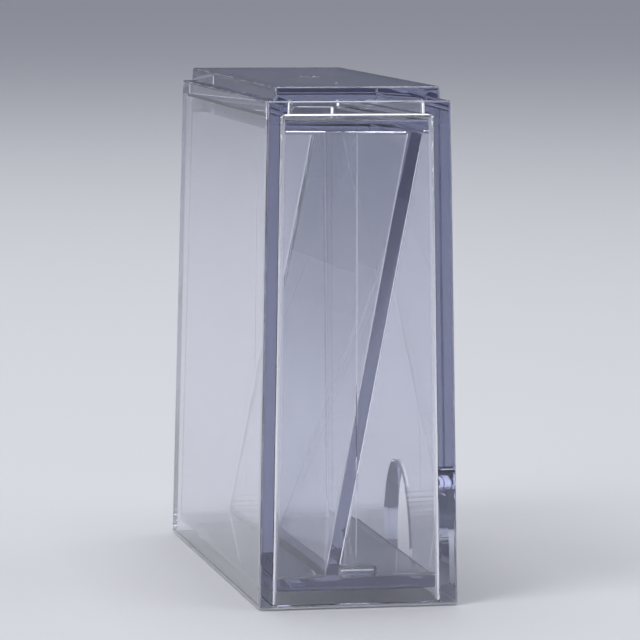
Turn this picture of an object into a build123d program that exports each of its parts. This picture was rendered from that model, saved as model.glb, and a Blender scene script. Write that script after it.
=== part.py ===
from build123d import *
import os

# Clear stackable display case for a card deck or a flat collectable.
# X runs along the wide display face, -Y is the display side, +Z is up.
# Origin: centre of the rim on which the case stands.

# ---------------- driving dimensions (mm) ----------------
base_x = 102.8          # outer length at the rim
base_y = 40.3           # outer thickness at the rim
shoulder_x = 98.2       # outer length at the stacking shoulder
shoulder_y = 36.8       # outer thickness at the stacking shoulder
shoulder_z = 100.0      # height of the stacking shoulder
case_corner_r = 0.6     # outer vertical corners

wall_rim = 3.1          # wall at the rim
wall_top = 2.95         # wall just under the ceiling
ceiling_z = 97.35       # inner ceiling of the case
cavity_corner_r = 1.2
ceiling_fillet = 0.75
mouth_chamfer = 0.5     # lead-in round the mouth

plateau_inset = 1.75    # shoulder ledge width
plateau_h = 2.75
plateau_draft = 0.1
hollow_inset = 1.6      # plateau hollow, inset from the cavity
hollow_z = 100.0        # ceiling of the plateau hollow
gate_dish_d = 4.6       # shallow dish of the moulding gate, centre of the plateau
gate_dish_h = 0.35
gate_nub_d = 1.6

arch_x = 5.6            # centre of the thumb arch
arch_w = 26.0           # width at the rim
arch_h = 23.1           # height of its crown

rib_len = 6.6           # snap rib on each narrow wall
rib_z = 6.7
rib_h = 1.3
rib_out = 0.4

stand_bot = 2.8         # underside of the stand's floor plate
stand_top = 96.2        # top of the shelf
stand_x_bot = 95.0      # stand length at its underside, on the parting line
stand_x_top = 91.1      # stand length at its top, on the parting line
stand_y_bot = 32.8      # stand thickness at its underside
stand_y_top = 29.1      # stand thickness at its top
mould_draft = 0.12      # fall of the frame's faces from the parting line to the open sides
floor_t = 2.6
shelf_t = 2.5
end_t = 2.6
pocket_draft = 0.35     # the pockets widen towards their open sides

web_front_bot = -5.85   # display side of the leaning web, at the floor
web_front_top = 10.85   # and under the shelf
web_back_bot = -3.6     # rear side of the web, at the floor
web_back_top = 13.5     # and under the shelf

slot_w = 7.7            # snap slot in each end plate
slot_y = 0.3            # its centre, behind mid-thickness
slot_z0 = 5.55
slot_z1 = 7.95
slot_r = 0.8

ridge_w = 0.32          # parting-line ridge round the frame, a low chevron
ridge_out = 0.09
ridge_sink = 0.02       # its foot lies just under the surface

os.makedirs("parts", exist_ok=True)

cav_top_x = shoulder_x + (base_x - shoulder_x) * (shoulder_z - ceiling_z) / shoulder_z - 2 * wall_top
cav_top_y = shoulder_y + (base_y - shoulder_y) * (shoulder_z - ceiling_z) / shoulder_z - 2 * wall_top
cav_bot_x = base_x - 2 * wall_rim
cav_bot_y = base_y - 2 * wall_rim
plat_x = shoulder_x - 2 * plateau_inset
plat_y = shoulder_y - 2 * plateau_inset

# ---------------- outer case ----------------
with BuildPart() as outer_case:
    # drafted outer body
    with BuildSketch(Plane.XY):
        RectangleRounded(base_x, base_y, case_corner_r)
    with BuildSketch(Plane.XY.offset(shoulder_z)):
        RectangleRounded(shoulder_x, shoulder_y, case_corner_r)
    loft()
    # stacking plateau
    with BuildSketch(Plane.XY.offset(shoulder_z)):
        RectangleRounded(plat_x, plat_y, case_corner_r)
    with BuildSketch(Plane.XY.offset(shoulder_z + plateau_h)):
        RectangleRounded(plat_x - 2 * plateau_draft, plat_y - 2 * plateau_draft, case_corner_r)
    loft()
    # softened shoulder, plateau and rim edges
    top_edges = outer_case.faces().filter_by(GeomType.PLANE).filter_by(Axis.Z).sort_by(Axis.Z)
    fillet(top_edges[-1].outer_wire().edges(), 0.4)
    ledge = [f for f in outer_case.faces().filter_by(GeomType.PLANE).filter_by(Axis.Z)
             if abs(f.center().Z - shoulder_z) < 0.01][0]
    fillet(ledge.outer_wire().edges(), 0.4)
    rim = outer_case.faces().filter_by(Axis.Z).sort_by(Axis.Z)[0]
    fillet(rim.outer_wire().edges(), 0.2)
    # cavity, drafted the same way
    with BuildSketch(Plane.XY):
        RectangleRounded(cav_bot_x, cav_bot_y, cavity_corner_r)
    with BuildSketch(Plane.XY.offset(ceiling_z)):
        RectangleRounded(cav_top_x, cav_top_y, cavity_corner_r)
    loft(mode=Mode.SUBTRACT)
    ceiling = [f for f in outer_case.faces().filter_by(Axis.Z) if abs(f.center().Z - ceiling_z) < 0.01][0]
    fillet(ceiling.outer_wire().edges(), ceiling_fillet)
    # hollow of the plateau
    with BuildSketch(Plane.XY.offset(ceiling_z)):
        RectangleRounded(cav_top_x - 2 * hollow_inset, cav_top_y - 2 * hollow_inset, cavity_corner_r)
    with BuildSketch(Plane.XY.offset(hollow_z)):
        RectangleRounded(cav_top_x - 2 * hollow_inset - 0.2, cav_top_y - 2 * hollow_inset - 0.2, cavity_corner_r)
    loft(mode=Mode.SUBTRACT)
    # lead-in at the mouth
    mouth = outer_case.faces().filter_by(Axis.Z).sort_by(Axis.Z)[0]
    chamfer(mouth.inner_wires()[0].edges(), mouth_chamfer)
    # thumb arch through the wide back wall
    with BuildSketch(Plane.XZ.offset(-base_y / 2 - 1)):
        with BuildLine():
            hw = arch_w / 2
            Polyline((arch_x - hw, 4.0), (arch_x - hw, -1.0), (arch_x + hw, -1.0), (arch_x + hw, 4.0))
            Bezier((arch_x + hw, 4.0), (arch_x + hw, 13.5), (arch_x + hw * 0.62, arch_h), (arch_x, arch_h))
            Bezier((arch_x, arch_h), (arch_x - hw * 0.62, arch_h), (arch_x - hw, 13.5), (arch_x - hw, 4.0))
        make_face()
    extrude(amount=8.0, mode=Mode.SUBTRACT)
    # gate vestige: a shallow dish with a sheared nub in it
    with BuildSketch(Plane.XY.offset(shoulder_z + plateau_h)):
        Circle(gate_dish_d / 2)
        Circle(gate_nub_d / 2, mode=Mode.SUBTRACT)
    extrude(amount=-gate_dish_h, taper=12, mode=Mode.SUBTRACT)
    # snap ribs inside the narrow walls
    for s in (-1, 1):
        cav_x = cav_bot_x / 2 - (cav_bot_x - cav_top_x) / 2 * rib_z / ceiling_z
        with BuildSketch(Plane.XZ.offset(-rib_len / 2)):
            with BuildLine():
                Polyline((s * (cav_x + 0.6), rib_z - rib_h / 2),
                         (s * cav_x, rib_z - rib_h / 2),
                         (s * (cav_x - rib_out), rib_z - 0.15),
                         (s * (cav_x - rib_out), rib_z + 0.15),
                         (s * cav_x, rib_z + rib_h / 2),
                         (s * (cav_x + 0.6), rib_z + rib_h / 2), close=True)
            make_face()
        extrude(amount=rib_len)

# ---------------- display stand ----------------
def half_len(z):
    return (stand_x_bot + (stand_x_top - stand_x_bot) * (z - stand_bot) / (stand_top - stand_bot)) / 2

def half_thk(z):
    return (stand_y_bot + (stand_y_top - stand_y_bot) * (z - stand_bot) / (stand_top - stand_bot)) / 2

def web_front(z):
    z0, z1 = stand_bot + floor_t, stand_top - shelf_t
    return web_front_bot + (web_front_top - web_front_bot) * (z - z0) / (z1 - z0)

def web_back(z):
    z0, z1 = stand_bot + floor_t, stand_top - shelf_t
    return web_back_bot + (web_back_top - web_back_bot) * (z - z0) / (z1 - z0)

y_open = 18.0           # the tool planes lie outside the open sides

# display pocket, from the open front to the web
with BuildPart() as front_pocket:
    with BuildSketch(Plane.XZ.offset(y_open)):
        with BuildLine():
            d = pocket_draft
            z0, z1 = stand_bot + floor_t - d, stand_top - shelf_t + d
            Polyline((-half_len(z0) + end_t - d, z0), (half_len(z0) - end_t + d, z0),
                     (half_len(z1) - end_t + d, z1), (-half_len(z1) + end_t - d, z1), close=True)
        make_face()
    with BuildSketch(Plane.XZ.offset(-y_open)):
        with BuildLine():
            z0, z1 = stand_bot + floor_t, stand_top - shelf_t
            Polyline((-half_len(z0) + end_t, z0), (half_len(z0) - end_t, z0),
                     (half_len(z1) - end_t, z1), (-half_len(z1) + end_t, z1), close=True)
        make_face()
    loft()
    with BuildSketch(Plane.YZ.offset(-60)):
        with BuildLine():
            Polyline((web_front(-10), -10), (60, -10), (60, 110), (web_front(110), 110), close=True)
        make_face()
    extrude(amount=120, mode=Mode.SUBTRACT)
    web_face = front_pocket.faces().sort_by(Axis.Y)[-1]
    fillet(front_pocket.edges().filter_by(lambda e: e.length < 60 and abs(e.tangent_at(0.5).Y) > 0.9), 0.8)
    web_face = front_pocket.faces().filter_by(GeomType.PLANE).sort_by(Axis.Y)[-1]
    fillet(web_face.edges(), 0.5)

# rear pocket, from the open back to the web
with BuildPart() as rear_pocket:
    with BuildSketch(Plane.XZ.offset(-y_open)):
        with BuildLine():
            d = pocket_draft
            z0, z1 = stand_bot + floor_t - d, stand_top - shelf_t + d
            Polyline((-half_len(z0) + end_t - d, z0), (half_len(z0) - end_t + d, z0),
                     (half_len(z1) - end_t + d, z1), (-half_len(z1) + end_t - d, z1), close=True)
        make_face()
    with BuildSketch(Plane.XZ.offset(y_open)):
        with BuildLine():
            z0, z1 = stand_bot + floor_t, stand_top - shelf_t
            Polyline((-half_len(z0) + end_t, z0), (half_len(z0) - end_t, z0),
                     (half_len(z1) - end_t, z1), (-half_len(z1) + end_t, z1), close=True)
        make_face()
    loft()
    with BuildSketch(Plane.YZ.offset(-60)):
        with BuildLine():
            Polyline((web_back(-10), -10), (-60, -10), (-60, 110), (web_back(110), 110), close=True)
        make_face()
    extrude(amount=120, mode=Mode.SUBTRACT)
    fillet(rear_pocket.edges().filter_by(lambda e: e.length < 60 and abs(e.tangent_at(0.5).Y) > 0.9), 0.8)
    web_face = rear_pocket.faces().filter_by(GeomType.PLANE).sort_by(Axis.Y)[0]
    fillet(web_face.edges(), 0.5)

# parting-line ridge: three outlines of the frame, the middle one proud of it
with BuildPart() as parting_ridge:
    for y, r in ((-ridge_w / 2, -ridge_sink), (0, ridge_out), (ridge_w / 2, -ridge_sink)):
        with BuildSketch(Plane.XZ.offset(-y)):
            with BuildLine():
                Polyline((-half_len(stand_bot) - r, stand_bot - r), (half_len(stand_bot) + r, stand_bot - r),
                         (half_len(stand_top) + r, stand_top + r), (-half_len(stand_top) - r, stand_top + r), close=True)
            make_face()
            fillet(vertices(), 0.9 + r)
    loft(ruled=True)

with BuildPart() as display_stand:
    # frame block: two halves that fall away from the parting line at mid-thickness
    for s in (-1, 1):
        with BuildSketch(Plane.XZ):
            with BuildLine():
                Polyline((-half_len(stand_bot), stand_bot), (half_len(stand_bot), stand_bot),
                         (half_len(stand_top), stand_top), (-half_len(stand_top), stand_top), close=True)
            make_face()
        with BuildSketch(Plane.XZ.offset(s * y_open)):
            with BuildLine():
                m = mould_draft
                Polyline((-half_len(stand_bot) + m, stand_bot + m), (half_len(stand_bot) - m, stand_bot + m),
                         (half_len(stand_top) - m, stand_top - m), (-half_len(stand_top) + m, stand_top - m), close=True)
            make_face()
        loft()
    # the open sides follow the draft of the case
    for s in (-1, 1):
        with BuildSketch(Plane.YZ.offset(-60)):
            with BuildLine():
                Polyline((s * half_thk(-10), -10), (s * 60, -10), (s * 60, 110), (s * half_thk(110), 110), close=True)
            make_face()
        extrude(amount=120, mode=Mode.SUBTRACT)
    # softened frame outline
    fillet(display_stand.edges().filter_by(lambda e: abs(e.tangent_at(0.5).Y) > 0.9), 0.9)
    sides = display_stand.faces().sort_by(Axis.Y)
    fillet(sides[0].outer_wire().edges(), 0.35)
    sides = display_stand.faces().sort_by(Axis.Y)
    fillet(sides[-1].outer_wire().edges(), 0.35)
    # fine parting-line ridge round the frame
    add(parting_ridge.part)
    add(front_pocket.part, mode=Mode.SUBTRACT)
    add(rear_pocket.part, mode=Mode.SUBTRACT)
    # snap slots through the end plates, just above the floor plate
    for s in (-1, 1):
        with BuildSketch(Plane.YZ.offset(s * 44.0)):
            with Locations((slot_y, (slot_z0 + slot_z1) / 2)):
                RectangleRounded(slot_w, slot_z1 - slot_z0, slot_r)
        extrude(amount=s * 6.0, mode=Mode.SUBTRACT)

outer_case.part.label = "outer_case"
display_stand.part.label = "display_stand"
export_step(outer_case.part, "parts/outer_case.step")
export_step(display_stand.part, "parts/display_stand.step")
print("case volume", outer_case.part.volume, "stand volume", display_stand.part.volume)
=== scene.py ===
import math

import bpy
from mathutils import Matrix, Vector

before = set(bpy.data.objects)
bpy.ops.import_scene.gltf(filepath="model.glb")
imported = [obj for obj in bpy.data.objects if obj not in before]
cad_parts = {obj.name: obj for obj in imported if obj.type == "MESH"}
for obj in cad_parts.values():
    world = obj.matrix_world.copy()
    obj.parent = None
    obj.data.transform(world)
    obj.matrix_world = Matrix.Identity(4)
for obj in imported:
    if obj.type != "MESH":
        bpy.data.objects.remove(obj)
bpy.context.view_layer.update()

scene = bpy.context.scene

# ---------------------------------------------------------------- helpers
def new_material(name):
    m = bpy.data.materials.new(name)
    m.use_nodes = True
    m.node_tree.nodes.clear()
    return m, m.node_tree


# ---------------------------------------------------------------- clear plastic
def clear_plastic(name, smudge_rough, seed, outer=None):
    """Polished clear polystyrene: slight moulding waviness, handling smudges, hairline
    scuffs and a trace of dust; the cool tint comes from absorption along the path.
    outer gives the shell's outline, (half x, half y) at the rim and at the shoulder, then the
    shoulder's height, and the plateau's half x, half y and height: its resting rim is rubbed
    satin and its outer edges are slightly worn, and both are also turned whitish as painted highlight lines along
    the rim and the edges."""
    m, nt = new_material(name)
    link = nt.links.new
    out = nt.nodes.new("ShaderNodeOutputMaterial")
    p = nt.nodes.new("ShaderNodeBsdfPrincipled")
    p.inputs["IOR"].default_value = 1.59
    p.inputs["Specular IOR Level"].default_value = 0.5
    link(p.outputs["BSDF"], out.inputs["Surface"])
    va = nt.nodes.new("ShaderNodeVolumeAbsorption")
    va.inputs["Color"].default_value = (0.50, 0.52, 0.66, 1)
    va.inputs["Density"].default_value = 25.0
    link(va.outputs["Volume"], out.inputs["Volume"])

    tc = nt.nodes.new("ShaderNodeTexCoord")
    mp = nt.nodes.new("ShaderNodeMapping")
    mp.inputs["Location"].default_value = (0.37 * seed, 0.21 * seed, 0.11 * seed)
    link(tc.outputs["Object"], mp.inputs["Vector"])

    def noise(scale, detail, rough=0.5, dist=0.0, vec=None):
        n = nt.nodes.new("ShaderNodeTexNoise")
        n.inputs["Scale"].default_value = scale
        n.inputs["Detail"].default_value = detail
        n.inputs["Roughness"].default_value = rough
        n.inputs["Distortion"].default_value = dist
        link((vec or mp).outputs["Vector"], n.inputs["Vector"])
        return n

    def remap(sock, a, b, lo, hi):
        r = nt.nodes.new("ShaderNodeMapRange")
        r.interpolation_type = "SMOOTHSTEP"
        for k, v in (("From Min", a), ("From Max", b), ("To Min", lo), ("To Max", hi)):
            r.inputs[k].default_value = v
        link(sock, r.inputs["Value"])
        return r.outputs["Result"]

    def math_(op, a, b):
        n = nt.nodes.new("ShaderNodeMath")
        n.operation = op
        for i, v in enumerate((a, b)):
            if isinstance(v, (int, float)):
                n.inputs[i].default_value = v
            else:
                link(v, n.inputs[i])
        return n.outputs[0]

    # handling smudges: soft patches about 20 mm across, broken up by finer ones
    patch = remap(noise(48.0, 3.0, 0.55, 0.6).outputs["Fac"], 0.50, 0.68, 0.0, 1.0)
    fine = remap(noise(420.0, 4.0, 0.6, 0.2).outputs["Fac"], 0.42, 0.66, 0.25, 1.0)
    smudge = math_("MULTIPLY", patch, fine)
    # hairline scuffs: very long thin noise in two directions
    scuffs = []
    for rot, sc in (((0.4, 0.9, 0.5), (2600.0, 55.0, 2600.0)), ((1.2, 0.2, 2.1), (2100.0, 2100.0, 48.0))):
        m2 = nt.nodes.new("ShaderNodeMapping")
        m2.inputs["Rotation"].default_value = rot
        m2.inputs["Scale"].default_value = sc
        link(tc.outputs["Object"], m2.inputs["Vector"])
        scuffs.append(remap(noise(1.0, 1.0, 0.5, 0.0, m2).outputs["Fac"], 0.80, 0.86, 0.0, 1.0))
    scuff = math_("MAXIMUM", scuffs[0], scuffs[1])
    dust = remap(noise(1900.0, 0.0).outputs["Fac"], 0.80, 0.86, 0.0, 1.0)

    wear_and_highlight = None
    if outer:
        (rx, ry), (sx, sy), sz, (px, py, pz) = outer
        sep = nt.nodes.new("ShaderNodeSeparateXYZ")
        link(tc.outputs["Object"], sep.inputs["Vector"])
        ax = math_("ABSOLUTE", sep.outputs["X"], 0.0)
        ay = math_("ABSOLUTE", sep.outputs["Y"], 0.0)
        z = sep.outputs["Z"]
        # depth under the drafted outer faces, the shoulder and the plateau, in metres
        dx = math_("SUBTRACT", math_("SUBTRACT", rx, math_("MULTIPLY", z, (rx - sx) / sz)), ax)
        dy = math_("SUBTRACT", math_("SUBTRACT", ry, math_("MULTIPLY", z, (ry - sy) / sz)), ay)
        ds = math_("ABSOLUTE", math_("SUBTRACT", sz, z), 0.0)
        dpx = math_("ABSOLUTE", math_("SUBTRACT", px, ax), 0.0)
        dpy = math_("ABSOLUTE", math_("SUBTRACT", py, ay), 0.0)
        dpz = math_("SUBTRACT", pz, z)
        corner = math_("MAXIMUM", dx, dy)
        ledge = math_("MAXIMUM", ds, math_("MINIMUM", dx, dy))
        lip = math_("MAXIMUM", dpz, math_("MINIMUM", dpx, dpy))
        d = math_("MINIMUM", corner, math_("MINIMUM", ledge, lip))
        d = math_("ADD", d, math_("MULTIPLY", math_("SUBTRACT", noise(900.0, 3.0).outputs["Fac"], 0.5), 0.0003))
        # edge mask: slightly worn outer edges, also a painted highlight line along each edge
        edge_wear_and_highlight = remap(d, 0.00014, 0.00042, 1.0, 0.0)
        edge_wear_and_highlight = math_("MULTIPLY", edge_wear_and_highlight, remap(noise(160.0, 3.0, 0.6).outputs["Fac"], 0.36, 0.60, 0.35, 1.0))
        # rubbed resting rim, also a painted highlight line along the rim; its upper limit slightly uneven
        edge_z = math_("ADD", z, math_("MULTIPLY", math_("SUBTRACT", noise(600.0, 2.0).outputs["Fac"], 0.5), 0.0002))
        rim_rub_and_highlight = remap(edge_z, 0.00024, 0.00036, 1.0, 0.0)
        # worn edges and rubbed rim together: real wear plus painted highlight lines
        wear_and_highlight = math_("MAXIMUM", rim_rub_and_highlight, math_("MULTIPLY", edge_wear_and_highlight, 0.75))

    rough = math_("MULTIPLY", smudge, smudge_rough)
    rough = math_("ADD", rough, math_("MULTIPLY", scuff, 0.10))
    if wear_and_highlight:
        rough = math_("ADD", rough, math_("MULTIPLY", wear_and_highlight, 0.35))
    link(rough, p.inputs["Roughness"])
    # dust and scuffs scatter a little light, and the worn edges and rim are turned whitish as painted highlight
    # lines; the rest is clear
    haze_and_highlight = math_("ADD", math_("MULTIPLY", smudge, 0.022), math_("MULTIPLY", dust, 0.12))
    haze_and_highlight = math_("ADD", haze_and_highlight, math_("MULTIPLY", scuff, 0.05))
    # worn edges and rim: painted highlight lines, whitish where the transmission drops
    if wear_and_highlight:
        haze_and_highlight = math_("ADD", haze_and_highlight, math_("MULTIPLY", wear_and_highlight, 0.40))
    link(math_("SUBTRACT", 0.992, haze_and_highlight), p.inputs["Transmission Weight"])
    cr = nt.nodes.new("ShaderNodeValToRGB")
    cr.color_ramp.elements[0].color = (0.93, 0.94, 0.98, 1)
    cr.color_ramp.elements[1].color = (0.99, 0.99, 1.0, 1)
    link(noise(30.0, 2.0).outputs["Fac"], cr.inputs["Fac"])
    link(cr.outputs["Color"], p.inputs["Base Color"])
    # slow waviness of the moulded faces
    bump = nt.nodes.new("ShaderNodeBump")
    bump.inputs["Strength"].default_value = 0.07
    bump.inputs["Distance"].default_value = 0.00006
    link(noise(70.0, 1.0, 0.4).outputs["Fac"], bump.inputs["Height"])
    link(bump.outputs["Normal"], p.inputs["Normal"])
    return m


mat_case = clear_plastic("clear_case", 0.030, 1.0,
                         ((0.0514, 0.02015), (0.0491, 0.0184), 0.100, (0.04735, 0.01665, 0.10275)))
mat_stand = clear_plastic("clear_stand", 0.022, 2.0)

for n, m in (("outer_case", mat_case), ("display_stand", mat_stand)):
    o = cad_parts[n]
    o.data.materials.clear()
    o.data.materials.append(m)

# ---------------------------------------------------------------- floor
fm, nt = new_material("floor")
out = nt.nodes.new("ShaderNodeOutputMaterial")
p = nt.nodes.new("ShaderNodeBsdfPrincipled")
p.inputs["Base Color"].default_value = (0.79, 0.795, 0.815, 1)
p.inputs["Roughness"].default_value = 0.55
nt.links.new(p.outputs["BSDF"], out.inputs["Surface"])
me = bpy.data.meshes.new("floor")
S = 12.0
me.from_pydata([(-S, -S, -0.0003), (S, -S, -0.0003), (S, S, -0.0003), (-S, S, -0.0003)], [], [(0, 1, 2, 3)])
floor = bpy.data.objects.new("floor", me)
me.materials.append(fm)
scene.collection.objects.link(floor)

# ---------------------------------------------------------------- light
# A soft studio: bright panels of sky to the left and right of the narrow end, dim behind and overhead.
w = bpy.data.worlds.new("studio")
scene.world = w
w.use_nodes = True
nt = w.node_tree
bg = nt.nodes["Background"]
tc = nt.nodes.new("ShaderNodeTexCoord")
sp = nt.nodes.new("ShaderNodeSeparateXYZ")
nt.links.new(tc.outputs["Generated"], sp.inputs["Vector"])


def wmath(op, a, b=0.0):
    n = nt.nodes.new("ShaderNodeMath")
    n.operation = op
    for i, v in enumerate((a, b)):
        if isinstance(v, (int, float)):
            n.inputs[i].default_value = v
        else:
            nt.links.new(v, n.inputs[i])
    return n.outputs[0]


def wmap(sock, a, b, lo, hi):
    r = nt.nodes.new("ShaderNodeMapRange")
    r.interpolation_type = "SMOOTHSTEP"
    for k, v in (("From Min", a), ("From Max", b), ("To Min", lo), ("To Max", hi)):
        r.inputs[k].default_value = v
    nt.links.new(sock, r.inputs["Value"])
    return r.outputs["Result"]


ay = wmath("ABSOLUTE", sp.outputs["Y"])
side = wmath("MULTIPLY", wmap(ay, 0.50, 0.72, 0.0, 1.0), wmap(ay, 0.84, 0.97, 1.0, 0.30))
low = wmap(sp.outputs["Z"], 0.34, 0.50, 1.0, 0.25)
low = wmath("MULTIPLY", low, wmap(sp.outputs["Z"], 0.50, 0.68, 1.0, 0.0))
mix = nt.nodes.new("ShaderNodeMix")
mix.data_type = "RGBA"
mix.inputs["A"].default_value = (0.14, 0.15, 0.20, 1)
mix.inputs["B"].default_value = (2.1, 2.1, 2.15, 1)
nt.links.new(wmath("MULTIPLY", side, low), mix.inputs["Factor"])
nt.links.new(mix.outputs["Result"], bg.inputs["Color"])
bg.inputs["Strength"].default_value = 1.0


def area(name, loc, target, size, power, color=(1, 1, 1)):
    l = bpy.data.lights.new(name, "AREA")
    l.shape = "RECTANGLE"
    l.size, l.size_y = size
    l.energy = power
    l.color = color
    o = bpy.data.objects.new(name, l)
    o.location = loc
    o.rotation_euler = (Vector(target) - Vector(loc)).to_track_quat("-Z", "Y").to_euler()
    o.visible_camera = False
    scene.collection.objects.link(o)
    return o


area("key", (0.65, -1.05, 1.75), (0, 0, 0.05), (0.7, 0.9), 10)
area("top", (-0.35, 0.0, 1.5), (-0.35, 0.0, 0.0), (2.1, 0.9), 14)

# ---------------------------------------------------------------- camera
az, el, dist, tx, tz, roll = -0.204146, 0.101917, 0.835975, 0.0023659, 0.0519007, 0.005560
b = Vector((math.sin(az) * math.cos(el), -math.cos(az) * math.cos(el), math.sin(el)))
T = Vector((tx * math.cos(az), tx * math.sin(az), tz))
fwd = -b
right = Vector((math.cos(az), math.sin(az), 0))
up = right.cross(fwd)
r2 = right * math.cos(roll) + up * math.sin(roll)
u2 = -right * math.sin(roll) + up * math.cos(roll)
C = T + b * dist
turn = Matrix.Rotation(math.pi / 2, 3, "Z")
r2, u2, b2, C = turn @ r2, turn @ u2, turn @ b, turn @ C
cam_data = bpy.data.cameras.new("camera")
cam_data.sensor_width = 36
cam_data.lens = 225
cam_data.clip_start, cam_data.clip_end = 0.01, 60
cam = bpy.data.objects.new("camera", cam_data)
cam.matrix_world = Matrix(((r2.x, u2.x, b2.x, C.x), (r2.y, u2.y, b2.y, C.y), (r2.z, u2.z, b2.z, C.z), (0, 0, 0, 1)))
scene.collection.objects.link(cam)
scene.camera = cam

scene.view_settings.view_transform = "Standard"
scene.cycles.max_bounces = 32
scene.cycles.transmission_bounces = 32
scene.cycles.glossy_bounces = 12
scene.cycles.diffuse_bounces = 4
